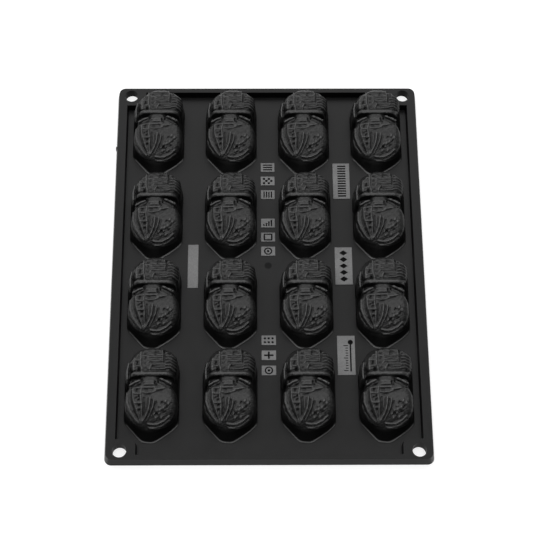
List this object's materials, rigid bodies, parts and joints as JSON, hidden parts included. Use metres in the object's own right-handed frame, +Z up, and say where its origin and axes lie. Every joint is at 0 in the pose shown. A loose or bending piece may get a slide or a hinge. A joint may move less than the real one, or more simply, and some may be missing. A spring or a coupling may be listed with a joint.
{
  "type": "silicone baking mold",
  "caption": "Flat flexible silicone baking sheet mould with a raised rim and rows of two-lobed nut-shaped cups standing up from it.",
  "frame": {"origin": "middle of the flat filling face, which lies on the floor", "axes": "+Y along the 400 mm length, towards the rounded backs of the cups; +Z up, the way the cups stand; +X to the right"},
  "size_m": [0.3, 0.4, 0.0286],
  "materials": {
    "silicone_satin": "satin black silicone",
    "silicone_matt": "matt etched black silicone"
  },
  "bodies": {
    "root": {"corner_pad_front_left": "silicone_satin", "corner_pad_front_right": "silicone_satin", "corner_pad_back_left": "silicone_satin", "corner_pad_back_right": "silicone_satin", "rim_bar_left": "silicone_satin", "rim_bar_right": "silicone_satin", "rim_bar_front": "silicone_satin", "rim_bar_back": "silicone_satin", "web_sheet": "silicone_satin", "cup_row1_col1": "silicone_satin", "cup_row1_col2": "silicone_satin", "cup_row1_col3": "silicone_satin", "cup_row1_col4": "silicone_satin", "cup_row2_col1": "silicone_satin", "cup_row2_col2": "silicone_satin", "cup_row2_col3": "silicone_satin", "cup_row2_col4": "silicone_satin", "cup_row3_col1": "silicone_satin", "cup_row3_col2": "silicone_satin", "cup_row3_col3": "silicone_satin", "cup_row3_col4": "silicone_satin", "cup_row4_col1": "silicone_satin", "cup_row4_col2": "silicone_satin", "cup_row4_col3": "silicone_satin", "cup_row4_col4": "silicone_satin", "plate_left": "silicone_matt", "plate_back": "silicone_matt", "plate_middle": "silicone_matt", "plate_front": "silicone_matt", "tile_back_1": "silicone_matt", "tile_back_2": "silicone_matt", "tile_back_3": "silicone_matt", "tile_middle_1": "silicone_matt", "tile_middle_2": "silicone_matt", "tile_middle_3": "silicone_matt", "tile_front_1": "silicone_matt", "tile_front_2": "silicone_matt", "tile_front_3": "silicone_matt"}
  },
  "joints": []
}
